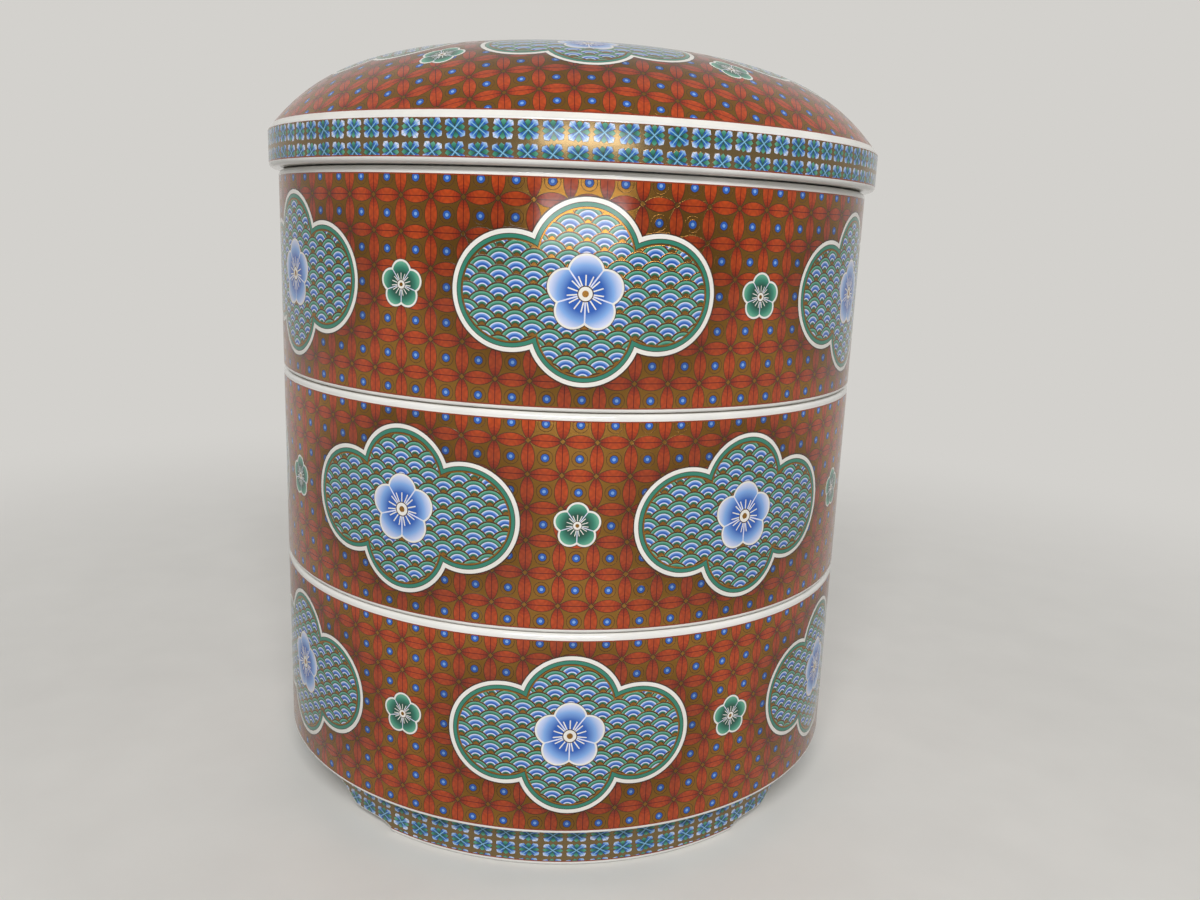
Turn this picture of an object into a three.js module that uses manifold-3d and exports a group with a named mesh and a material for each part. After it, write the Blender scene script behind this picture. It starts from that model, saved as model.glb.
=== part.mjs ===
// A round jubako of glazed porcelain: a footed bottom box, two more boxes stacked on it, and a domed lid.
// Each of the four is one fired piece, and they are held together only by nesting and by their weight.
// Millimetres, +Z up. The origin is on the stack's axis, on the surface that it stands on.
// The front is towards -Y.
import * as THREE from "three";
import { mergeVertices } from "three/addons/utils/BufferGeometryUtils.js";
import Module from "manifold-3d";

const wasm = await Module();
wasm.setup();

// Driving dimensions of the stack
const BODY_RADIUS = 80; // outside of every box
const TIER_HEIGHT = 51.2; // one box, from its seat to the seat of the piece above
const FOOT_HEIGHT = 12.4; // standing surface to the lower edge of the bottom box's wall
const LID_RADIUS = 82.4; // the lid overhangs the boxes a little
const LID_HEIGHT = 33.1; // seat to the crown of the dome
const WALL = 4.6; // porcelain wall
const FLOOR = 4.5; // porcelain floor
const SEAT_GAP = 0.3; // hairline left between two seated pieces
const SIDES = 64; // facets round the axis

// Rims, seats and the nesting rings
const SEAT_ROUND = 0.6; // rounding of the wall's lower edge
const RIM_ROUND = 1.2; // rounding outside the rim
const MOUTH_ROUND = 0.9; // rounding inside the rim
const CORNER_ROUND = 4; // inside corner between wall and floor
const MOUTH_RADIUS = BODY_RADIUS - WALL;
const NEST_CLEARANCE = 0.9; // between a nesting ring and the mouth round it
const NEST_RADIUS = MOUTH_RADIUS - NEST_CLEARANCE;
const NEST_WIDTH = 4;
const NEST_DEPTH = 4; // how far an upper box's ring reaches into the box below
const UNDERSIDE = -0.4; // base panel inside the ring, just below the seat

// Bottom box's foot
const FOOT_RADIUS = 74.4;
const FOOT_WIDTH = 4.6;
const FOOT_LIP = 0.8; // chamfer at the foot's standing edge
const FOOT_COVE = 3.8; // hollow curve where the foot meets the box
const FOOT_COUNT = 3;

// Three-lobed arch cut through the foot between each two of its brackets, half of its outline
const ARCH_HALF_SPAN = 30.4;
const ARCH_SIDE_CROWN = 2.1; // height of the low side lobes
const ARCH_SIDE_TURN = 27.8; // the bracket's end leans in to here before it turns over
const ARCH_SIDE_CROWN_AT = 21.2;
const ARCH_CUSP = { along: 16.4, up: 2 };
const ARCH_CROWN = 6.6; // height of the tall middle lobe
const ARCH_CROWN_HALF = 3;
const ARCH_HAUNCH = 9.5; // the middle lobe's sides lean in to here before they turn over
const ARCH_STEPS = 5; // straight steps in each curve
const CUT_INNER = 55; // the cutter runs from here, inside the foot
const CUT_OUTER = 95; // to here, outside it

// Lid
const LID_LIP = 1; // rounding of the band's lower edge
const LID_BAND_TOP = 9.5; // height above the seat where the band starts to turn into the dome
const DOME_EDGE = 82; // radius where the dome starts
const DOME_FOOT = 9.8; // height above the seat where it starts
const LID_FLANGE_DEPTH = 5;
const LID_FLANGE_WIDTH = 3.5;
const LID_CROWN_WALL = 4.8;
const LID_HOLLOW_EDGE = 11.5; // height above the seat where the hollow starts to curve over
const DOME_STEPS = 10;
const HOLLOW_STEPS = 6;
// Share of the dome's height lost at the square of the share of its radius: flat crown, falling shoulder
const domeDrop = (t) => 0.16 * t + 0.6 * t ** 2 + 0.24 * t ** 4;

const WHITE_PORCELAIN = { color: 0xece7dd, roughness: 0.18, metalness: 0 };
const RED_ENAMEL = { color: 0xa5471f, roughness: 0.2, metalness: 0 };

// Points of an arc in the half plane of radius and height, angles in degrees from +r towards +z
function arc(r, z, radius, from, to, steps = 3) {
  const points = [];
  for (let i = 0; i <= steps; i++) {
    const angle = THREE.MathUtils.degToRad(from + ((to - from) * i) / steps);
    points.push([r + radius * Math.cos(angle), z + radius * Math.sin(angle)]);
  }
  return points;
}

// Turns a profile, which runs from the axis out, up and back to the axis, about +Z
function turned(profile) {
  const geometry = new THREE.LatheGeometry(profile.map(([r, z]) => new THREE.Vector2(r, z)), SIDES);
  return geometry.rotateX(Math.PI / 2);
}

function solidFrom(geometry) {
  const bare = geometry.clone();
  bare.deleteAttribute("normal");
  bare.deleteAttribute("uv");
  const merged = mergeVertices(bare, 1e-3);
  const vertProperties = merged.attributes.position.array;
  const triVerts = new Uint32Array(merged.index.array);
  return new wasm.Manifold(new wasm.Mesh({ numProp: 3, vertProperties, triVerts }));
}

function geometryFrom(solid) {
  const mesh = solid.getMesh();
  const geometry = new THREE.BufferGeometry();
  geometry.setAttribute("position", new THREE.BufferAttribute(mesh.vertProperties, 3));
  geometry.setIndex(new THREE.BufferAttribute(mesh.triVerts, 1));
  return geometry;
}

// Outer wall, rounded rim, mouth and inside of a box whose seat is at height 0
function boxShell() {
  const rim = TIER_HEIGHT - SEAT_GAP;
  const floor = UNDERSIDE + FLOOR;
  return [
    ...arc(BODY_RADIUS - SEAT_ROUND, SEAT_ROUND, SEAT_ROUND, -90, 0),
    ...arc(BODY_RADIUS - RIM_ROUND, rim - RIM_ROUND, RIM_ROUND, 0, 90),
    ...arc(MOUTH_RADIUS + MOUTH_ROUND, rim - MOUTH_ROUND, MOUTH_ROUND, 90, 180, 2),
    ...arc(MOUTH_RADIUS - CORNER_ROUND, floor + CORNER_ROUND, CORNER_ROUND, 0, -90),
    [0, floor],
  ];
}

// Upper box: a low ring under it nests in the mouth of the box below
function stackingBox() {
  const nestInner = NEST_RADIUS - NEST_WIDTH;
  return turned([
    [0, UNDERSIDE],
    [nestInner, UNDERSIDE],
    [nestInner, -NEST_DEPTH],
    [NEST_RADIUS, -NEST_DEPTH],
    [NEST_RADIUS, 0],
    ...boxShell(),
  ]);
}

// Outline of the arch between two brackets, along the foot and up from the standing surface
function archOutline() {
  const below = -1; // starts under the standing surface, so that the cut is clean
  const shape = new THREE.Shape();
  shape.moveTo(ARCH_HALF_SPAN, below);
  shape.lineTo(ARCH_HALF_SPAN, 0);
  shape.quadraticCurveTo(ARCH_SIDE_TURN, ARCH_SIDE_CROWN, ARCH_SIDE_CROWN_AT, ARCH_SIDE_CROWN);
  shape.lineTo(ARCH_CUSP.along, ARCH_CUSP.up);
  shape.quadraticCurveTo(ARCH_HAUNCH, ARCH_CROWN, ARCH_CROWN_HALF, ARCH_CROWN);
  shape.lineTo(-ARCH_CROWN_HALF, ARCH_CROWN);
  shape.quadraticCurveTo(-ARCH_HAUNCH, ARCH_CROWN, -ARCH_CUSP.along, ARCH_CUSP.up);
  shape.lineTo(-ARCH_SIDE_CROWN_AT, ARCH_SIDE_CROWN);
  shape.quadraticCurveTo(-ARCH_SIDE_TURN, ARCH_SIDE_CROWN, -ARCH_HALF_SPAN, 0);
  shape.lineTo(-ARCH_HALF_SPAN, below);
  shape.closePath();
  return shape;
}

// Bottom box: a taller foot, coved under the wall and cut into brackets by the arches
function footedBox() {
  const ground = -FOOT_HEIGHT;
  const footInner = FOOT_RADIUS - FOOT_WIDTH;
  const whole = turned([
    [0, UNDERSIDE],
    [footInner, UNDERSIDE],
    [footInner, ground],
    [FOOT_RADIUS - FOOT_LIP, ground],
    [FOOT_RADIUS, ground + FOOT_LIP],
    ...arc(FOOT_RADIUS + FOOT_COVE, -FOOT_COVE, FOOT_COVE, 180, 90),
    ...boxShell(),
  ]);
  let solid = solidFrom(whole);
  const reach = { depth: CUT_OUTER - CUT_INNER, bevelEnabled: false, curveSegments: ARCH_STEPS };
  for (let i = 0; i < FOOT_COUNT; i++) {
    const cutter = new THREE.ExtrudeGeometry(archOutline(), reach);
    // Stands the outline up, facing outwards, then turns it to the middle of a gap between brackets
    cutter.rotateX(Math.PI / 2).translate(0, -CUT_INNER, ground);
    cutter.rotateZ(((i + 0.5) * 2 * Math.PI) / FOOT_COUNT);
    solid = solid.subtract(solidFrom(cutter));
  }
  return geometryFrom(solid);
}

// Points of a dome from its crown to its edge
function dome(radius, edge, crown, steps) {
  const points = [];
  for (let i = 0; i <= steps; i++) {
    const share = Math.sin(((i / steps) * Math.PI) / 2); // closer steps where the shoulder turns over
    points.push([radius * share, crown - (crown - edge) * domeDrop(share ** 2)]);
  }
  return points;
}

// Lid: seat, plain upright band, dome, and a flange underneath that drops into the top box's mouth
function domedLid() {
  const flangeInner = NEST_RADIUS - LID_FLANGE_WIDTH;
  return turned([
    ...dome(flangeInner, LID_HOLLOW_EDGE, LID_HEIGHT - LID_CROWN_WALL, HOLLOW_STEPS),
    [flangeInner, -LID_FLANGE_DEPTH],
    [NEST_RADIUS, -LID_FLANGE_DEPTH],
    [NEST_RADIUS, 0],
    ...arc(LID_RADIUS - LID_LIP, LID_LIP, LID_LIP, -90, 0, 2),
    [LID_RADIUS, LID_BAND_TOP],
    ...dome(DOME_EDGE, DOME_FOOT, LID_HEIGHT, DOME_STEPS).reverse(),
  ]);
}

function piece(name, geometry, finish) {
  const mesh = new THREE.Mesh(geometry, new THREE.MeshStandardMaterial(finish));
  mesh.name = name;
  return mesh;
}

// Each piece carries the next one on its rim
function raised(height, mesh) {
  const place = new THREE.Group();
  place.position.z = height;
  place.add(mesh);
  return place;
}

const jubako = new THREE.Group();
let carrier = raised(FOOT_HEIGHT, piece("bottom_tier", footedBox(), RED_ENAMEL));
jubako.add(carrier);
for (const name of ["middle_tier", "top_tier"]) {
  const next = raised(TIER_HEIGHT, piece(name, stackingBox(), RED_ENAMEL));
  carrier.add(next);
  carrier = next;
}
carrier.add(raised(TIER_HEIGHT, piece("lid", domedLid(), WHITE_PORCELAIN)));

export default jubako;
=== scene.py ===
import math

import bmesh
import bpy
from mathutils import Matrix, Vector


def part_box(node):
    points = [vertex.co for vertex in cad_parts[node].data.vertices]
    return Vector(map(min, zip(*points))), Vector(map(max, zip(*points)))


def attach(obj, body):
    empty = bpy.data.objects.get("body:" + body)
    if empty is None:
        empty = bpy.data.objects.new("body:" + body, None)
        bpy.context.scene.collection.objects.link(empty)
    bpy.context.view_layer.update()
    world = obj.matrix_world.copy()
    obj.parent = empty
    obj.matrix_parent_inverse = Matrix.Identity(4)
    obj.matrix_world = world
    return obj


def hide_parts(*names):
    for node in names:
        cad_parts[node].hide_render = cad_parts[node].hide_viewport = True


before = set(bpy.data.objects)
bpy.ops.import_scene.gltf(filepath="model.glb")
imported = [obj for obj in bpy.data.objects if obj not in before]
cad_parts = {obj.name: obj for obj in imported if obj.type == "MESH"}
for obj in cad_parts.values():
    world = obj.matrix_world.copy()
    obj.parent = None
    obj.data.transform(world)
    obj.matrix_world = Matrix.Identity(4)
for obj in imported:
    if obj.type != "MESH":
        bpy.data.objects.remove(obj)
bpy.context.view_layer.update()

# Bottom box
# The lowest of three boxes that stack. It is one body of white porcelain, turned on a wheel, with a foot ring
# that is cut into three brackets. It is glazed, and then painted with enamels and gold fired onto the glaze.
MM = 0.001
SIDES = 192  # facets round the axis

bottom_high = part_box("bottom_tier")[1]
middle_low, middle_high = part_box("middle_tier")
body_radius = bottom_high.x
tier_height = middle_high.z - bottom_high.z
seat_gap = 0.3 * MM  # hairline between two seated pieces
foot_height = bottom_high.z + seat_gap - tier_height  # up to the wall's lower edge
wall_thickness = 4.6 * MM
mouth_radius = body_radius - wall_thickness
floor_thickness = 4.5 * MM
base_drop = 0.4 * MM  # from the seat down to the underside of the floor
seat_round = 0.6 * MM
rim_round = 1.2 * MM
mouth_round = 0.9 * MM
corner_round = 4 * MM  # inside, where the wall meets the floor
foot_radius = 74.4 * MM
foot_width = 4.6 * MM
foot_inner = foot_radius - foot_width
foot_lip = 0.8 * MM  # rounding at the standing face
foot_cove = 3.8 * MM  # hollow under the wall
recess_round = 1.5 * MM  # inside the foot, where it meets the base
weld_gap = 0.001 * MM  # points this close are merged
pick_slack = 0.01 * MM  # allowed when points and faces are picked by their place
skin = 0.1 * MM  # faces whose centres lie this close under a surface belong to it


def draw_outline(name, corners):
    """Draws an upright outline: extrudes a point from corner to corner, then rounds the corners."""
    bpy.ops.object.select_all(action="DESELECT")
    bpy.ops.mesh.primitive_plane_add(size=MM)
    piece = bpy.context.object
    piece.name = name
    bpy.ops.object.mode_set(mode="EDIT")
    bpy.ops.mesh.select_mode(type="VERT")
    bpy.ops.mesh.select_all(action="SELECT")
    bpy.ops.mesh.merge(type="CENTER")
    drawn = Vector((corners[0][0], 0, corners[0][1]))
    bpy.ops.transform.translate(value=drawn)
    for across, up, rounding in corners[1:]:
        corner = Vector((across, 0, up))
        bpy.ops.mesh.extrude_region_move(TRANSFORM_OT_translate={"value": corner - drawn})
        drawn = corner
    for across, up, rounding in corners:
        if rounding:
            outline = bmesh.from_edit_mesh(piece.data)
            for point in outline.verts:
                point.select_set((point.co - Vector((across, 0, up))).length < pick_slack)
            outline.select_flush_mode()
            bmesh.update_edit_mesh(piece.data)
            bpy.ops.mesh.bevel(offset=rounding, segments=5, affect="VERTICES")
    bpy.ops.mesh.select_all(action="SELECT")
    return piece


def turn_section(name, corners):
    """Draws half a section, from the axis out and back to it, and spins it about the axis."""
    piece = draw_outline(name, corners)
    bpy.ops.mesh.spin(steps=SIDES, angle=2 * math.pi, center=(0, 0, 0), axis=(0, 0, 1))
    bpy.ops.mesh.select_all(action="SELECT")
    bpy.ops.mesh.remove_doubles(threshold=weld_gap)
    bpy.ops.mesh.normals_make_consistent(inside=False)
    bpy.ops.object.mode_set(mode="OBJECT")
    return piece


def box_corners(seat, rim):
    """Corners of a box's section from the edge of its seat, up the wall, over the rim and down inside."""
    floor = seat - base_drop + floor_thickness
    return [
        (body_radius, seat, seat_round),
        (body_radius, rim, rim_round),
        (mouth_radius, rim, mouth_round),
        (mouth_radius, floor, corner_round),
        (0, floor, 0),
    ]


bottom_box = turn_section("bottom_box", [
    (0, foot_height - base_drop, 0),
    (foot_inner, foot_height - base_drop, recess_round),
    (foot_inner, 0, foot_lip),
    (foot_radius, 0, foot_lip),
    (foot_radius, foot_height, foot_cove),
    *box_corners(foot_height, bottom_high.z),
])

# Arches through the foot ring: a tall lobe between two low ones, cut out while the clay was leather-hard
bracket_count = 3
arch_half_span = 30.4 * MM
arch_side_turn = 28.3 * MM  # the bracket's end leans in to here and turns over into the low lobe
arch_side_crown = 2.1 * MM
arch_cusp = 16.4 * MM
arch_haunch = 9.5 * MM  # the tall lobe's side leans in to here and turns over
arch_crown = 6.6 * MM
arch_reach = (58 * MM, 92 * MM)  # the cut runs from inside the foot ring to outside it
arch_edge_round = 0.6 * MM
arch_sliver = 0.3 * MM  # shorter edges, left where a cut crosses the foot's facets, are closed up


def select_edges(piece, chosen):
    """Selects, in edit mode, the edges that chosen picks."""
    bpy.ops.mesh.select_mode(type="EDGE")
    bpy.ops.mesh.select_all(action="DESELECT")
    mesh = bmesh.from_edit_mesh(piece.data)
    for edge in mesh.edges:
        edge.select_set(chosen(edge))
    bmesh.update_edit_mesh(piece.data)


def select_faces(piece, chosen):
    """Selects, in edit mode, the faces that chosen picks by their centre and normal."""
    bpy.ops.mesh.select_mode(type="FACE")
    bpy.ops.mesh.select_all(action="DESELECT")
    mesh = bmesh.from_edit_mesh(piece.data)
    for face in mesh.faces:
        face.select_set(chosen(face.calc_center_median(), face.normal))
    bmesh.update_edit_mesh(piece.data)


def arch_tool():
    """A block with the arch's outline, reaching through the front of the foot ring."""
    flare = 2.6 * MM  # it widens under the standing face, which rounds the bracket's end
    flare_drop = 0.6 * MM
    below = 4 * MM  # how far it reaches under the standing face
    # Corners as across, up and rounding
    half = [
        (arch_half_span + flare, -below, 0),
        (arch_half_span + flare, -flare_drop, 0),
        (arch_half_span, 0, 0.8 * MM),
        (arch_side_turn, arch_side_crown, 2.8 * MM),
        (arch_cusp, arch_side_crown, 0.5 * MM),
        (arch_haunch, arch_crown, 6.4 * MM),
    ]
    mirrored = [(-across, up, rounding) for across, up, rounding in reversed(half)]
    tool = draw_outline("arch_tool", [*half, *mirrored, half[0]])
    bpy.ops.mesh.remove_doubles(threshold=weld_gap)
    bpy.ops.mesh.edge_face_add()
    bpy.ops.transform.translate(value=(0, -arch_reach[0], 0))
    through = (0, arch_reach[0] - arch_reach[1], 0)
    bpy.ops.mesh.extrude_region_move(TRANSFORM_OT_translate={"value": through})
    bpy.ops.mesh.select_all(action="SELECT")
    bpy.ops.mesh.normals_make_consistent(inside=False)
    bpy.ops.object.mode_set(mode="OBJECT")
    return tool


for number in range(bracket_count):
    tool = arch_tool()
    tool.rotation_euler.z = (number + 0.5) * 2 * math.pi / bracket_count
    bpy.ops.object.transform_apply(location=True, rotation=True, scale=True)
    bpy.ops.object.select_all(action="DESELECT")
    bottom_box.select_set(True)
    bpy.context.view_layer.objects.active = bottom_box
    cut = bottom_box.modifiers.new("arch", "BOOLEAN")
    cut.operation = "DIFFERENCE"
    cut.solver = "EXACT"
    cut.object = tool
    bpy.ops.object.modifier_apply(modifier=cut.name)
    bpy.data.objects.remove(tool)


def cut_edge(edge):
    """Sharp edge that the arches left on the foot, above its rounded lower edge."""
    heights = [end.co.z for end in edge.verts]
    on_foot = foot_lip - pick_slack < min(heights) and max(heights) < arch_crown + skin
    return on_foot and edge.calc_face_angle(0) > math.radians(40)


bpy.ops.object.mode_set(mode="EDIT")
select_edges(bottom_box, cut_edge)
bpy.ops.mesh.remove_doubles(threshold=arch_sliver)
select_edges(bottom_box, cut_edge)
bpy.ops.mesh.bevel(offset=arch_edge_round, segments=3, clamp_overlap=False)
bpy.ops.mesh.select_all(action="SELECT")
bpy.ops.mesh.dissolve_degenerate(threshold=weld_gap)  # faces that the rounding folded flat
bpy.ops.object.mode_set(mode="OBJECT")


def linear(code):
    """Linear colour of an sRGB hex value."""
    shares = [int(code[i:i + 2], 16) / 255 for i in (1, 3, 5)]
    return [s / 12.92 if s <= 0.04045 else ((s + 0.055) / 1.055) ** 2.4 for s in shares] + [1.0]


def node(tree, kind, feeds=(), out=0, stops=(), **options):
    """Adds a node, sets its options and ramp stops, feeds its inputs, and returns one of its outputs."""
    made = tree.nodes.new("ShaderNode" + kind)
    for option, value in options.items():
        setattr(made, option, value)
    if stops:
        ramp = made.color_ramp.elements
        ramp[0].position, ramp[1].position = stops[0][0], stops[-1][0]
        for place, colour in stops[1:-1]:
            ramp.new(place)
        for stop, (place, colour) in zip(ramp, stops):
            stop.color = linear(colour)
    for socket, feed in feeds.items() if isinstance(feeds, dict) else enumerate(feeds):
        if isinstance(feed, bpy.types.NodeSocket):
            tree.links.new(feed, made.inputs[socket])
        else:
            made.inputs[socket].default_value = feed
    return made.outputs[out] if made.outputs else made


def new_material(name):
    """A material and its empty node tree."""
    material = bpy.data.materials.new(name)
    material.use_nodes = True
    material.node_tree.nodes.clear()
    return material, material.node_tree


# Clear glaze over white porcelain: cool white, glossy as glass, a little uneven where the glaze ran
white_glaze, tree = new_material("clear_glaze_on_white_porcelain")
place = node(tree, "TexCoord", out=3)
cloud = node(tree, "TexNoise", {"Vector": place, "Scale": 1 / (18 * MM), "Detail": 2.0})
tint = node(tree, "ValToRGB", [cloud], stops=((0.3, "#e2e1dc"), (0.7, "#edebe7")))
gloss = node(tree, "MapRange", {"Value": cloud, "To Min": 0.06, "To Max": 0.13})
ripple = node(tree, "TexNoise", {"Vector": place, "Scale": 1 / (6 * MM), "Detail": 1.0})
bump = node(tree, "Bump", {"Strength": 0.12, "Distance": 0.1 * MM, "Height": ripple})
shader = node(tree, "BsdfPrincipled", {
    "Base Color": tint, "Roughness": gloss, "Normal": bump, "IOR": 1.52,
})
node(tree, "OutputMaterial", {"Surface": shader})

# Bare porcelain, fired without glaze where pieces touch: dull, a little creamier, with fine grit
bare_porcelain, tree = new_material("unglazed_porcelain")
place = node(tree, "TexCoord", out=3)
grit = node(tree, "TexNoise", {"Vector": place, "Scale": 1 / (0.8 * MM), "Detail": 4.0})
tint = node(tree, "ValToRGB", [grit], stops=((0.3, "#d5cec0"), (0.7, "#e3ddd2")))
bump = node(tree, "Bump", {"Strength": 0.3, "Distance": 0.05 * MM, "Height": grit})
shader = node(tree, "BsdfPrincipled", {"Base Color": tint, "Roughness": 0.7, "Normal": bump, "IOR": 1.5})
node(tree, "OutputMaterial", {"Surface": shader})

# Fired colours of the painting
GOLD = "#a07439"
PALE_GOLD = "#8a7450"
KEY_LINE = "#3f2412"
RED_LINE = "#8a3517"
RUST_LIGHT = "#b5430f"
RUST = "#992e08"
RUST_DEEP = "#5e1806"
TEAL = "#1f6d94"
AQUA = "#8cc0d8"
BLUE = "#285cb4"
BLUE_PALE = "#7faae4"
BLUE_WHITE = "#dcdff5"
GREEN_DEEP = "#1b4d3f"
GREEN = "#31806a"
GREEN_PALE = "#6cb295"
WHITE = "#ebe8e1"

# Shades of a blossom's petal from its middle out
blue_petal = (BLUE, BLUE, BLUE_PALE, BLUE_WHITE)
green_petal = (GREEN_DEEP, GREEN_DEEP, GREEN, GREEN_PALE)

# A coat of the painting is its colour, its share of bare metal and its height, where 1 is a raised line's
bare_gold = (linear(GOLD), 1.0, 0.0)
pale_gold = (linear(PALE_GOLD), 0.8, 0.0)


def enamel(colour, height=0.5):
    """A coat of one opaque enamel."""
    return linear(colour), 0.0, height


def lay(tree, under, over, share):
    """Lays one coat over another by a share from 0 to 1."""
    colour = node(tree, "Mix", {0: share, 6: under[0], 7: over[0]}, out=2, data_type="RGBA")
    gold = node(tree, "Mix", {0: share, 2: under[1], 3: over[1]})
    height = node(tree, "Mix", {0: share, 2: under[2], 3: over[2]})
    return colour, gold, height


def nest(tree, painted, reach, coats):
    """Lays coats one over another, each where reach is less than its limit."""
    for limit, coat in coats:
        within = node(tree, "Math", [reach, limit], operation="LESS_THAN")
        painted = lay(tree, painted, coat, within)
    return painted


def length(tree, across, up):
    """How far a point lies from the middle of its pattern."""
    spot = node(tree, "CombineXYZ", [across, up, 0.0])
    return node(tree, "VectorMath", [spot], out=1, operation="LENGTH")


def fold(tree, reach, turn, half_share):
    """Folds turns about a middle into one share of a round. Gives the place across and along that share."""
    turn = node(tree, "Math", [turn, half_share, -half_share], operation="WRAP")
    sine = node(tree, "Math", [turn], operation="SINE")
    cosine = node(tree, "Math", [turn], operation="COSINE")
    aside = node(tree, "Math", [reach, sine], operation="MULTIPLY")
    ahead = node(tree, "Math", [reach, cosine], operation="MULTIPLY")
    return aside, ahead


def interlocked_rings(tree, across, up):
    """A net of overlapping rings: veined rust petals where two rings cross, gold between them, and a blue
    dot in each. across and up count rings from the middle of one."""
    net = node(tree, "CombineXYZ", [across, up, 0.0])
    regular = {"Vector": net, "Scale": 1.0, "Randomness": 0.0}
    nearest = node(tree, "TexVoronoi", regular, voronoi_dimensions="2D", feature="F1")
    second = node(tree, "TexVoronoi", regular, voronoi_dimensions="2D", feature="F2")
    ring = math.sqrt(0.5)  # radius at which four rings meet in a point
    veins = 5  # to half a petal's width
    # A petal's width runs with the difference of the two distances, and its length with their sum
    aside = node(tree, "Math", [second, nearest], operation="SUBTRACT")
    ahead = node(tree, "Math", [second, nearest], operation="ADD")
    ahead = node(tree, "MapRange", {"Value": ahead, "From Min": 1.0, "From Max": 2 * ring})
    petal = node(tree, "ValToRGB", [ahead], stops=((0.0, RUST_LIGHT), (0.4, RUST), (0.95, RUST_DEEP)))
    slant = node(tree, "Math", [aside, -0.5, ahead], operation="MULTIPLY_ADD")
    vein = node(tree, "Math", [slant, 2 * math.pi * veins], operation="MULTIPLY")
    vein = node(tree, "Math", [vein], operation="SINE")
    vein = node(tree, "MapRange", {"Value": vein, "From Min": -1.0, "To Min": 0.84, "To Max": 1.08})
    petal = node(tree, "HueSaturation", {"Value": vein, "Color": petal})
    petal = nest(tree, (petal, 0.0, 0.5), aside, [(0.025, enamel(RUST_DEEP))])
    painted = nest(tree, bare_gold, second, [(ring, enamel(KEY_LINE)), (ring - 0.018, petal)])
    from_meeting = node(tree, "Math", [ring, nearest], operation="SUBTRACT")
    painted = nest(tree, painted, from_meeting, [(0.075, enamel(KEY_LINE)), (0.055, bare_gold)])
    return nest(tree, painted, nearest, [
        (0.235, enamel(KEY_LINE)), (0.22, bare_gold),
        (0.135, enamel(KEY_LINE)), (0.115, enamel(BLUE)), (0.05, enamel(BLUE_PALE)),
    ])


def wave_scales(tree, across, up):
    """Overlapping wave scales in rows, with green, white and blue arcs round a gold eye."""
    scale_radius = 3.7 * MM
    level = node(tree, "Math", [up, 2 / scale_radius], operation="MULTIPLY")  # counts rows
    row = node(tree, "Math", [level], operation="FLOOR")
    odd = node(tree, "Math", [row, 2.0], operation="FLOORED_MODULO")
    rise = node(tree, "Math", [level], operation="FRACT")
    shift = node(tree, "Math", [across, 1 / scale_radius, odd], operation="MULTIPLY_ADD")
    reaches = []
    for rows_down in (0.0, 1.0):
        aside = node(tree, "Math", [shift, rows_down], operation="ADD")
        aside = node(tree, "Math", [aside, 1.0, -1.0], operation="WRAP")
        above = node(tree, "Math", [rise, 0.5, 0.5 * rows_down], operation="MULTIPLY_ADD")
        reaches.append(length(tree, aside, above))
    behind, front = reaches
    in_front = node(tree, "Math", [front, 1.0], operation="LESS_THAN")
    reach = node(tree, "Mix", {0: in_front, 2: behind, 3: front})
    arcs = node(tree, "ValToRGB", [reach], stops=(
        (0.18, GREEN_DEEP), (0.3, GREEN), (0.33, BLUE_WHITE), (0.37, BLUE_WHITE), (0.4, BLUE), (0.48, BLUE),
        (0.6, BLUE_PALE), (0.63, BLUE_WHITE), (0.66, BLUE_WHITE), (0.69, GREEN_DEEP), (0.76, GREEN),
        (0.88, GREEN_PALE),
    ))
    return nest(tree, bare_gold, reach, [
        (0.97, enamel(KEY_LINE)), (0.89, (arcs, 0.0, 0.5)), (0.19, enamel(KEY_LINE)), (0.16, bare_gold),
    ])


def blossom(tree, painted, across, up, size, shades):
    """Lays a five-petalled plum blossom of a given radius over a coat. Its petals are shaded from the middle
    out and edged in white, and its stamens are white."""
    reach = length(tree, across, up)
    turn = node(tree, "Math", [across, up], operation="ARCTAN2")
    half_petal = math.pi / 5
    petal_middle, petal_radius = 0.56 * size, 0.44 * size
    aside, ahead = fold(tree, reach, turn, half_petal)
    from_middle = node(tree, "Math", [ahead, petal_middle], operation="SUBTRACT")
    from_middle = length(tree, aside, from_middle)
    share = node(tree, "Math", [reach, 1 / size], operation="MULTIPLY")
    petal = node(tree, "ValToRGB", [share], stops=list(zip((0.2, 0.5, 0.75, 1.0), shades)))
    # The line between two petals
    aside = node(tree, "Math", [aside], operation="ABSOLUTE")
    aside = node(tree, "Math", [aside, -math.cos(half_petal)], operation="MULTIPLY")
    from_next = node(tree, "Math", [ahead, math.sin(half_petal), aside], operation="MULTIPLY_ADD")
    petal = nest(tree, (petal, 0.0, 0.6), from_next, [(0.02 * size, enamel(BLUE_WHITE, 0.8))])
    painted = nest(tree, painted, from_middle, [
        (petal_radius + 0.6 * MM, enamel(KEY_LINE)),
        (petal_radius + 0.45 * MM, enamel(WHITE, 1.0)),
        (petal_radius, petal),
    ])
    aside, ahead = fold(tree, reach, turn, half_petal / 3)
    aside = node(tree, "Math", [aside], operation="ABSOLUTE")
    aside = node(tree, "Math", [aside, 0.018 * size], operation="SUBTRACT")
    ahead = node(tree, "Math", [ahead, 0.5 * size], operation="SUBTRACT")
    stamen = node(tree, "Math", [aside, ahead], operation="MAXIMUM")
    painted = nest(tree, painted, stamen, [(0.0, enamel(WHITE, 0.8))])
    return nest(tree, painted, reach, [
        (0.22 * size, enamel(KEY_LINE)), (0.19 * size, enamel(WHITE, 1.0)), (0.09 * size, bare_gold),
    ])


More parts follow.
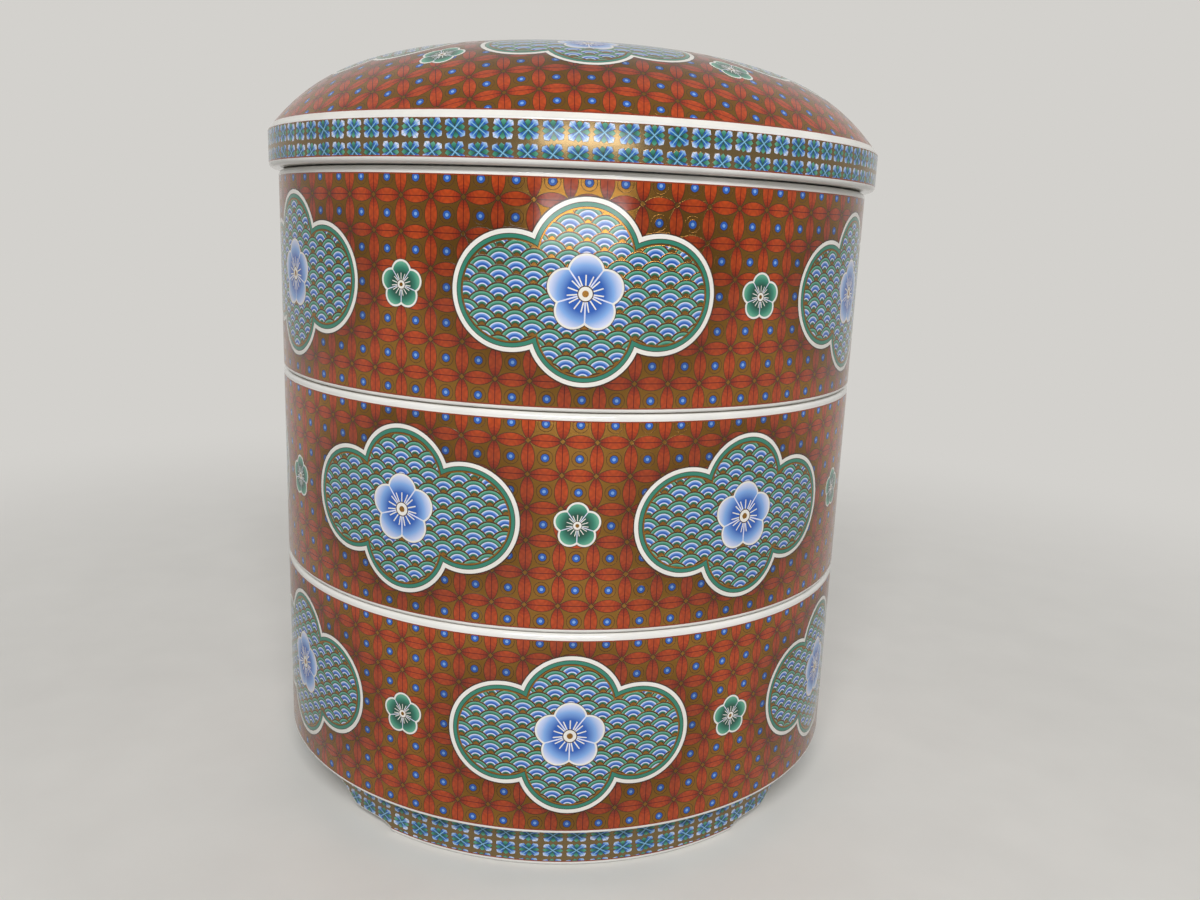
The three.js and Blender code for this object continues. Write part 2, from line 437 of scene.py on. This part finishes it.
def outside_window(tree, across, up, size):
    """How far a point lies outside the outline of a four-lobed window, size times the full one."""
    lobes = []
    for along, beside, place, radius in (
        (across, up, 16 * MM * size, 13 * MM * size),
        (up, across, 7.5 * MM * size, 12.5 * MM * size),
    ):
        along = node(tree, "Math", [along], operation="ABSOLUTE")
        along = node(tree, "Math", [along, place], operation="SUBTRACT")
        reach = length(tree, along, beside)
        lobes.append(node(tree, "Math", [reach, radius], operation="SUBTRACT"))
    return node(tree, "Math", lobes, operation="MINIMUM")


def window(tree, ground, across, up, size):
    """Sets a four-lobed window of wave scales, with a raised white edge and a green band, in a ground."""
    outside = outside_window(tree, across, up, size)
    # The ground deepens towards the window, as a shaded wash does
    shade = node(tree, "MapRange", {"Value": outside, "From Max": 11 * MM, "To Min": 0.62})
    shaded = node(tree, "HueSaturation", {"Value": shade, "Color": ground[0]})
    painted = nest(tree, (shaded, *ground[1:]), outside, [
        (0.3 * MM, enamel(KEY_LINE)),
        (0.0, enamel(WHITE, 1.0)),
        (-0.95 * MM, enamel(KEY_LINE)),
        (-1.1 * MM, enamel(GREEN)),
        (-1.9 * MM, enamel(KEY_LINE)),
        (-2.05 * MM, bare_gold),
        (-2.4 * MM, wave_scales(tree, across, up)),
    ])
    return blossom(tree, painted, across, up, 8 * MM * size, blue_petal)


def fired(tree, painted, place):
    """Finishes a painted surface: glossy enamel with a slight mottle, and burnished gold where it is bare."""
    colour, gold, height = painted
    mottle = node(tree, "TexNoise", {"Vector": place, "Scale": 1 / (9 * MM), "Detail": 3.0})
    value = node(tree, "MapRange", {"Value": mottle, "To Min": 0.86, "To Max": 1.12})
    colour = node(tree, "HueSaturation", {"Value": value, "Color": colour})
    gloss = node(tree, "MapRange", {"Value": gold, "To Min": 0.14, "To Max": 0.23})
    grain = node(tree, "TexNoise", {"Vector": place, "Scale": 1 / (1.2 * MM), "Detail": 2.0})
    height = node(tree, "Math", [grain, 0.25, height], operation="MULTIPLY_ADD")
    bump = node(tree, "Bump", {"Strength": 0.35, "Distance": 0.12 * MM, "Height": height})
    shader = node(tree, "BsdfPrincipled", {
        "Base Color": colour, "Metallic": gold, "Roughness": gloss, "Normal": bump, "IOR": 1.5,
    })
    node(tree, "OutputMaterial", {"Surface": shader})


def round_the_axis(tree):
    """A point's place, its turn from the front, its distance from the axis and its height."""
    place = node(tree, "TexCoord", out=3)
    x = node(tree, "SeparateXYZ", [place])
    y, z = x.node.outputs[1:]
    forward = node(tree, "Math", [y, -1.0], operation="MULTIPLY")
    turn = node(tree, "Math", [x, forward], operation="ARCTAN2")
    return place, turn, length(tree, x, y), z


# Painted wall: rings in rust and gold, white-edged windows of blue and green waves, green blossoms between
window_count = 6
half_sector = math.pi / window_count
rings_round = 66
ring_pitch = 2 * math.pi * body_radius / rings_round
small_blossom = 5 * MM
seat_margin = 0.85 * MM
rim_margin = 1.85 * MM
red_line = 0.3 * MM
painted_wall, tree = new_material("overglaze_enamel_and_gold_on_wall")
place, turn, _, z = round_the_axis(tree)
level = node(tree, "Math", [z, 1 / tier_height, -foot_height / tier_height], operation="MULTIPLY_ADD")
storey = node(tree, "Math", [level], operation="FLOOR")
share = node(tree, "Math", [level], operation="FRACT")
up = node(tree, "Math", [share, tier_height, -tier_height / 2], operation="MULTIPLY_ADD")
rings_across = node(tree, "Math", [turn, rings_round / (2 * math.pi)], operation="MULTIPLY")
rings_up = node(tree, "Math", [up, 1 / ring_pitch], operation="MULTIPLY")
painted = interlocked_rings(tree, rings_across, rings_up)
# Each storey is staggered by half a window
staggered = node(tree, "Math", [storey, half_sector, turn], operation="MULTIPLY_ADD")
local = node(tree, "Math", [staggered, half_sector, -half_sector], operation="WRAP")
across = node(tree, "Math", [local, body_radius], operation="MULTIPLY")
painted = window(tree, painted, across, up, 1.0)
between = node(tree, "Math", [staggered, half_sector], operation="ADD")
between = node(tree, "Math", [between, half_sector, -half_sector], operation="WRAP")
across = node(tree, "Math", [between, body_radius], operation="MULTIPLY")
painted = blossom(tree, painted, across, up, small_blossom, green_petal)
# A white margin with a red line at the rim and at the seat
aloft = node(tree, "Math", [up, (rim_margin - seat_margin) / 2], operation="ADD")
aloft = node(tree, "Math", [aloft], operation="ABSOLUTE")
painted_half = (tier_height - seat_margin - rim_margin) / 2
from_margin = node(tree, "Math", [painted_half, aloft], operation="SUBTRACT")
painted = nest(tree, painted, from_margin, [(red_line, enamel(RED_LINE)), (0.0, enamel(WHITE))])
fired(tree, painted, place)


def florets(tree, across, up):
    """Rows of florets on pale gold, each of four green petals and, over them, four blue ones on the diagonals
    with white tips. No two are quite alike, as the brush leaves them. across and up count florets."""
    column = node(tree, "Math", [across], operation="ROUND")
    row = node(tree, "Math", [up], operation="ROUND")
    number = node(tree, "CombineXYZ", [column, row, 0.0])
    chance = node(tree, "TexWhiteNoise", {"Vector": number})
    slip = node(tree, "Math", [chance, 0.36, -0.18], operation="MULTIPLY_ADD")  # turn of the whole floret
    wash = node(tree, "Math", [chance, 0.14, -0.07], operation="MULTIPLY_ADD")  # how far its shades reach
    across = node(tree, "Math", [across, 0.5, -0.5], operation="WRAP")
    up = node(tree, "Math", [up, 0.5, -0.5], operation="WRAP")
    reach = length(tree, across, up)
    turn = node(tree, "Math", [up, across], operation="ARCTAN2")
    turn = node(tree, "Math", [turn, slip], operation="ADD")
    painted = pale_gold
    eighth = math.pi / 4
    # For each kind of petal: its turn, half its width at the base, how it widens from there and is cut back
    # to its tip, its shades, and half the width of its pale vein
    green_shades = ((0.08, GREEN_DEEP), (0.24, GREEN), (0.48, GREEN_PALE))
    blue_shades = ((0.14, TEAL), (0.28, BLUE), (0.38, BLUE_PALE), (0.47, BLUE_WHITE))
    for start, base, spread, taper, tip, shades, vein in (
        (0.0, 0.0, 1.0, 1.1, 0.48, green_shades, 0.0),
        (eighth, 0.03, 0.3, 1.5, 0.8, blue_shades, 0.018),
    ):
        shifted = node(tree, "Math", [turn, start], operation="ADD")
        aside, ahead = fold(tree, reach, shifted, eighth)
        aside = node(tree, "Math", [aside], operation="ABSOLUTE")
        beside = node(tree, "Math", [ahead, -spread, aside], operation="MULTIPLY_ADD")
        beside = node(tree, "Math", [beside, base], operation="SUBTRACT")
        beyond = node(tree, "Math", [ahead, taper, aside], operation="MULTIPLY_ADD")
        beyond = node(tree, "Math", [beyond, tip], operation="SUBTRACT")
        outside = node(tree, "Math", [beside, beyond], operation="MAXIMUM")
        shade = node(tree, "Math", [ahead, wash], operation="ADD")
        petal = node(tree, "ValToRGB", [shade], stops=shades)
        petal = nest(tree, (petal, 0.0, 0.5), aside, [(vein, enamel(AQUA))])
        painted = nest(tree, painted, outside, [(0.02, enamel(KEY_LINE)), (0.0, petal)])
    return painted


# Painted foot: a row of florets on gold, a second row half hidden in the hollow above it, a white lower edge
foot_florets = 80
foot_row = 4.1 * MM
foot_row_middle = 4.2 * MM  # of the lower row, above the standing face
foot_margin = 1.05 * MM
painted_foot, tree = new_material("overglaze_enamel_and_gold_on_foot")
place, turn, out, z = round_the_axis(tree)
across = node(tree, "Math", [turn, foot_florets / (2 * math.pi), 0.5], operation="MULTIPLY_ADD")
along = node(tree, "Math", [z, out], operation="ADD")  # grows up the foot and on out along the hollow
up = node(tree, "Math", [along, foot_radius + foot_row_middle], operation="SUBTRACT")
up = node(tree, "Math", [up, 1 / foot_row], operation="MULTIPLY")
painted = florets(tree, across, up)
painted = nest(tree, painted, z, [(foot_margin + red_line, enamel(RED_LINE)), (foot_margin, enamel(WHITE))])
fired(tree, painted, place)


def seam(edge):
    """Edge to cut along when a piece is laid out flat: where its finish changes, where a plain wall turns
    into a floor, and in three planes through the axis that part the walls and undersides."""
    normals = [face.normal.z for face in edge.link_faces]
    finishes = {face.material_index for face in edge.link_faces}
    if len(finishes) > 1:
        return True
    level = {abs(z) > 0.7 for z in normals}
    if finishes == {0} and len(level) > 1:
        return True
    turns = [math.degrees(math.atan2(end.co.x, -end.co.y)) % 120 for end in edge.verts]
    return max(normals) < 0.5 and all(abs(turn - 60) < 0.1 for turn in turns)


def lay_out_flat(piece):
    """Lays a piece out flat in a map to bake its finish on, which gives the painting most of the room."""
    plain_share = 0.3  # size of plain faces beside painted ones
    piece.data.uv_layers.active.name = "OFBake"
    bpy.ops.object.mode_set(mode="EDIT")
    select_edges(piece, seam)
    bpy.ops.mesh.mark_seam()
    bpy.ops.mesh.select_all(action="SELECT")
    bpy.ops.uv.unwrap(method="ANGLE_BASED")
    bpy.ops.uv.select_all(action="SELECT")
    bpy.ops.uv.average_islands_scale()
    mesh = bmesh.from_edit_mesh(piece.data)
    layout = mesh.loops.layers.uv.active
    for face in mesh.faces:
        if piece.data.materials[face.material_index] in (white_glaze, bare_porcelain):
            for corner in face.loops:
                corner[layout].uv *= plain_share
    bmesh.update_edit_mesh(piece.data)
    bpy.ops.uv.pack_islands(rotate_method="CARDINAL", shape_method="CONCAVE", margin=0.003)
    bpy.ops.object.mode_set(mode="OBJECT")


def dress(piece, materials, choices):
    """Gives a piece its materials: the first all over, then each other one where its choice picks faces."""
    bpy.ops.object.select_all(action="DESELECT")
    piece.select_set(True)
    bpy.context.view_layer.objects.active = piece
    piece.data.materials.clear()
    for material in materials:
        piece.data.materials.append(material)
    bpy.ops.object.mode_set(mode="EDIT")
    for number, chosen in enumerate([lambda centre, normal: True, *choices]):
        select_faces(piece, chosen)
        piece.active_material_index = number
        bpy.ops.object.material_slot_assign()
    bpy.ops.object.mode_set(mode="OBJECT")
    bpy.ops.object.shade_smooth_by_angle(angle=math.radians(35))
    lay_out_flat(piece)


def outer_wall(centre, normal):
    """Upright outside of a box."""
    return centre.xy.length > body_radius - skin and abs(normal.z) < 0.1


def outer_foot(centre, normal):
    """Outside of the foot, up to the end of the hollow under the wall, but for the arches' rounded edges."""
    upright = normal.xy.dot(centre.xy.normalized()) > 0.98
    outside = centre.xy.length > foot_radius - skin
    return outside and foot_lip < centre.z < foot_height - pick_slack and (upright or centre.z > arch_crown)


def rests(centre, normal):
    """Level faces that something rests on: the rim, the seat and the standing face of the foot."""
    level = abs(normal.z) > 0.99
    return level and (centre.xy.length > mouth_radius or centre.z < skin)


dress(bottom_box, [white_glaze, painted_wall, painted_foot, bare_porcelain], [outer_wall, outer_foot, rests])
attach(bottom_box, "bottom_tier")
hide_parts("bottom_tier")

# Middle and top boxes
# The same porcelain box without a foot: a low ring under the floor drops into the mouth of the box below
# and keeps the stack in line. The two are alike, so the top one is a copy of the middle one.
top_low, top_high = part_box("top_tier")
middle_seat = bottom_high.z + seat_gap
nest_clearance = 0.9 * MM
nest_outer = mouth_radius - nest_clearance
nest_width = 4 * MM
nest_inner = nest_outer - nest_width
nest_round = 0.8 * MM
nest_corner = 1.2 * MM  # inside the ring, where it meets the base
middle_box = turn_section("middle_box", [
    (0, middle_seat - base_drop, 0),
    (nest_inner, middle_seat - base_drop, nest_corner),
    (nest_inner, middle_low.z, nest_round),
    (nest_outer, middle_low.z, nest_round),
    (nest_outer, middle_seat, 0),
    *box_corners(middle_seat, middle_high.z),
])
dress(middle_box, [white_glaze, painted_wall, bare_porcelain], [outer_wall, rests])

top_box = middle_box.copy()
top_box.data = middle_box.data.copy()
top_box.name = "top_box"
bpy.context.collection.objects.link(top_box)
top_box.data.transform(Matrix.Translation((0, 0, top_low.z - middle_low.z)))
for box, tier in ((middle_box, "middle_tier"), (top_box, "top_tier")):
    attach(box, tier)
    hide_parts(tier)

# Lid
# A low dome on an upright band that overhangs the boxes, of the same porcelain. A flange under it drops into
# the top box's mouth. The band has a floret border, and the dome is painted like the boxes.
lid_low, lid_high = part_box("lid")
lid_radius = lid_high.x
lid_seat = top_high.z + seat_gap
flange_width = 3.5 * MM
flange_inner = nest_outer - flange_width
band_top = lid_seat + 9.5 * MM
band_lip = 1.25 * MM
band_corner = 0.3 * MM
dome_edge = 82 * MM
dome_foot = lid_seat + 9.8 * MM
dome_steps = 40
hollow_edge = lid_seat + 11.5 * MM
hollow_steps = 24
crown_wall = 4.8 * MM


def dome(radius, edge, crown, steps):
    """Points of a flat-crowned dome with a falling shoulder, from crown to edge."""
    points = []
    for step in range(steps + 1):
        share = math.sin(step / steps * math.pi / 2)  # closer steps where the shoulder turns over
        drop = 0.16 * share ** 2 + 0.6 * share ** 4 + 0.24 * share ** 8
        points.append((radius * share, crown - (crown - edge) * drop, 0))
    return points


lid = turn_section("domed_lid", [
    *dome(flange_inner, hollow_edge, lid_high.z - crown_wall, hollow_steps),
    (flange_inner, lid_low.z, nest_round),
    (nest_outer, lid_low.z, nest_round),
    (nest_outer, lid_seat, 0),
    (lid_radius, lid_seat, band_lip),
    (lid_radius, band_top, band_corner),
    *reversed(dome(dome_edge, dome_foot, lid_high.z, dome_steps)),
])

# Painted band: florets on gold, one row and most of a second, between red lines
band_florets = 100
band_row = 4.75 * MM
painted_top = band_top - 0.1 * MM
painted_bottom = lid_seat + 1.25 * MM
upper_row_middle = painted_top - 2.3 * MM
painted_band, tree = new_material("overglaze_enamel_and_gold_on_band")
place, turn, _, z = round_the_axis(tree)
across = node(tree, "Math", [turn, band_florets / (2 * math.pi), 0.5], operation="MULTIPLY_ADD")
up = node(tree, "Math", [z, 1 / band_row, -upper_row_middle / band_row], operation="MULTIPLY_ADD")
painted = florets(tree, across, up)
middle = (painted_top + painted_bottom) / 2
aloft = node(tree, "Math", [z, middle], operation="SUBTRACT")
aloft = node(tree, "Math", [aloft], operation="ABSOLUTE")
from_edge = node(tree, "Math", [painted_top - middle, aloft], operation="SUBTRACT")
painted = nest(tree, painted, from_edge, [(red_line, enamel(RED_LINE)), (0.0, enamel(WHITE))])
fired(tree, painted, place)

# Painted dome: the boxes' rings and windows, spread over the crown, with a blossom on top
dome_window = 0.84  # size of a window beside a wall's
window_out = 54 * MM  # from the crown to a window's middle
blossom_out = 66 * MM  # and to the middle of a blossom between two windows
crown_blossom = 15 * MM
dome_margin = 0.85 * MM
dome_red_line = 0.25 * MM
painted_dome, tree = new_material("overglaze_enamel_and_gold_on_dome")
place, turn, out, _ = round_the_axis(tree)
# Distance from the crown along the dome, which grows on the flat distance as the shoulder falls away
share = node(tree, "Math", [out, 1 / dome_edge], operation="MULTIPLY")
steep = node(tree, "Math", [share, 7.0], operation="POWER")
spread = node(tree, "Math", [steep, 0.08, 1.0], operation="MULTIPLY_ADD")
along = node(tree, "Math", [out, spread], operation="MULTIPLY")
x, y = fold(tree, along, turn, math.pi)
rings_across = node(tree, "Math", [x, 1 / ring_pitch], operation="MULTIPLY")
rings_up = node(tree, "Math", [y, 1 / ring_pitch], operation="MULTIPLY")
painted = interlocked_rings(tree, rings_across, rings_up)
across, outwards = fold(tree, along, turn, half_sector)
up = node(tree, "Math", [window_out, outwards], operation="SUBTRACT")
painted = window(tree, painted, across, up, dome_window)
between = node(tree, "Math", [turn, half_sector], operation="ADD")
across, outwards = fold(tree, along, between, half_sector)
up = node(tree, "Math", [blossom_out, outwards], operation="SUBTRACT")
painted = blossom(tree, painted, across, up, small_blossom, green_petal)
painted = blossom(tree, painted, x, y, crown_blossom, green_petal)
inwards = node(tree, "Math", [dome_edge, out], operation="SUBTRACT")
painted = nest(tree, painted, inwards, [
    (dome_margin + dome_red_line, enamel(RED_LINE)), (dome_margin, enamel(WHITE)),
])
fired(tree, painted, place)


def outer_band(centre, normal):
    """Upright outside of the lid."""
    return centre.xy.length > lid_radius - skin and abs(normal.z) < 0.1


def outer_dome(centre, normal):
    """Outside of the dome."""
    return normal.z > 0.2 and centre.xy.length < dome_edge and centre.z > dome_foot


dress(lid, [white_glaze, painted_band, painted_dome], [outer_band, outer_dome])
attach(lid, "lid")
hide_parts("lid")

# Studio
# A pale paper sweep under and behind the stack, and soft lamps: a low one and a high one behind the camera,
# a weaker one at each side and a large one at the back. Only the first two are mirrored in glaze and gold.
BACKDROP = "#d3d1cd"
sweep_size = 6
sweep_height = 4
sweep_bend = 1.5
back_edge = sweep_size / 2 - 0.01
bpy.ops.object.select_all(action="DESELECT")
bpy.ops.mesh.primitive_plane_add(size=sweep_size)
sweep = bpy.context.object
sweep.name = "studio_sweep"
bpy.ops.object.mode_set(mode="EDIT")
select_edges(sweep, lambda edge: all(end.co.y > back_edge for end in edge.verts))
bpy.ops.mesh.extrude_region_move(TRANSFORM_OT_translate={"value": (0, 0, sweep_height)})
select_edges(sweep, lambda edge: all(end.co.y > back_edge and end.co.z < 0.1 for end in edge.verts))
bpy.ops.mesh.bevel(offset=sweep_bend, segments=16)
bpy.ops.object.mode_set(mode="OBJECT")
bpy.ops.object.shade_smooth()

# Matt white paper: paler to the camera than in the light that it throws back on the stack. Far from the stack
# it shows its own colour whatever light reaches it, and from below it is clear, so that the underside shows.
paper, tree = new_material("matt_white_paper")
place = node(tree, "TexCoord", out=3)
cloud = node(tree, "TexNoise", {"Vector": place, "Scale": 1 / (25 * MM), "Detail": 3.0})
tint = node(tree, "ValToRGB", [cloud], stops=((0.3, "#e2e0db"), (0.7, "#e6e4df")))
seen = node(tree, "LightPath")
mirrored = seen.node.outputs["Is Glossy Ray"]
seen = node(tree, "Math", [seen, mirrored], operation="MAXIMUM")
tint = node(tree, "Mix", {0: seen, 6: linear("#a3a19d"), 7: tint}, out=2, data_type="RGBA")
lit = node(tree, "BsdfPrincipled", {"Base Color": tint, "Roughness": 0.8})
even = node(tree, "Emission", {"Color": linear(BACKDROP), "Strength": 1.0})
away = node(tree, "VectorMath", [place], out=1, operation="LENGTH")
near_to_far = {"Value": away, "From Min": 0.12, "From Max": 0.5}
far = node(tree, "MapRange", near_to_far, interpolation_type="SMOOTHSTEP")
far = node(tree, "Math", [far, seen], operation="MULTIPLY")
shader = node(tree, "MixShader", [far, lit, even])
below = node(tree, "NewGeometry").node.outputs["Backfacing"]
clear = node(tree, "BsdfTransparent")
shader = node(tree, "MixShader", [below, shader, clear])
node(tree, "OutputMaterial", {"Surface": shader})
sweep.data.materials.append(paper)

# Pale studio walls: they show to the camera, and in glaze and gold, where the room in front of the stack is
# darker than the wall behind it. They light the stack only a little.
fill = 0.13  # share of the walls' brightness that lights the stack
walls = bpy.data.worlds.new("studio_walls")
bpy.context.scene.world = walls
walls.use_nodes = True
tree = walls.node_tree
tree.nodes.clear()
seen = node(tree, "LightPath")
mirrored = seen.node.outputs["Is Glossy Ray"]
towards = node(tree, "SeparateXYZ", [node(tree, "TexCoord")], out=1)
behind = node(tree, "MapRange", {"Value": towards, "From Min": -1.0, "To Min": 0.45, "To Max": 1.0})
strength = node(tree, "Mix", {0: mirrored, 2: fill, 3: behind})
strength = node(tree, "Mix", {0: seen, 2: strength, 3: 1.0})
shader = node(tree, "Background", {"Color": linear(BACKDROP), "Strength": strength})
node(tree, "OutputWorld", {"Surface": shader})

for name, spot, aim, width, height, power, in_glaze in (
    ("front_softbox", (0.02, -1.05, 0.25), (0, 0, 0.14), 0.55, 0.12, 1.6, True),
    ("high_softbox", (-0.06, -0.95, 0.84), (0, 0, 0.12), 0.7, 0.16, 11.2, True),
    ("left_softbox", (-1.1, 0.25, 0.6), (0, 0, 0.1), 0.5, 0.8, 1.0, False),
    ("right_softbox", (1.1, 0.25, 0.6), (0, 0, 0.1), 0.5, 0.8, 1.8, False),
    ("back_softbox", (0.1, 1.4, 0.9), (0, 0, 0.1), 2.0, 1.2, 8.0, False),
):
    lamp = bpy.data.lights.new(name, "AREA")
    lamp.shape = "RECTANGLE"
    lamp.size = width
    lamp.size_y = height
    lamp.energy = power
    holder = bpy.data.objects.new(name, lamp)
    bpy.context.collection.objects.link(holder)
    holder.visible_camera = False
    holder.visible_glossy = in_glaze
    holder.location = spot
    holder.rotation_euler = (Vector(aim) - Vector(spot)).to_track_quat("-Z", "Y").to_euler()

# Camera
# It stands close in front of the stack, as high as the top box, looks a little down, and is rolled slightly.
photo_width = 1200  # pixels
focal_length = 1012.7  # in pixels of that width
camera_spot = Vector((0, -296.6, 154.45)) * MM
camera_turn = math.radians(2.2)  # to the left of the front bracket's middle
pitch_down = math.radians(12.43)
yaw_right = math.radians(1.97)
roll = math.radians(2.28)
camera_data = bpy.data.cameras.new("camera")
camera_data.sensor_width = 36
camera_data.lens = camera_data.sensor_width * focal_length / photo_width
camera_data.clip_start = 0.01
camera = bpy.data.objects.new("camera", camera_data)
bpy.context.collection.objects.link(camera)
facing = Matrix.Rotation(-yaw_right, 4, "Z") @ Matrix.Rotation(math.pi / 2 - pitch_down, 4, "X")
facing = Matrix.Translation(camera_spot) @ facing @ Matrix.Rotation(roll, 4, "Z")
camera.matrix_world = Matrix.Rotation(-camera_turn, 4, "Z") @ facing
bpy.context.scene.camera = camera
bpy.context.scene.view_settings.view_transform = "Standard"
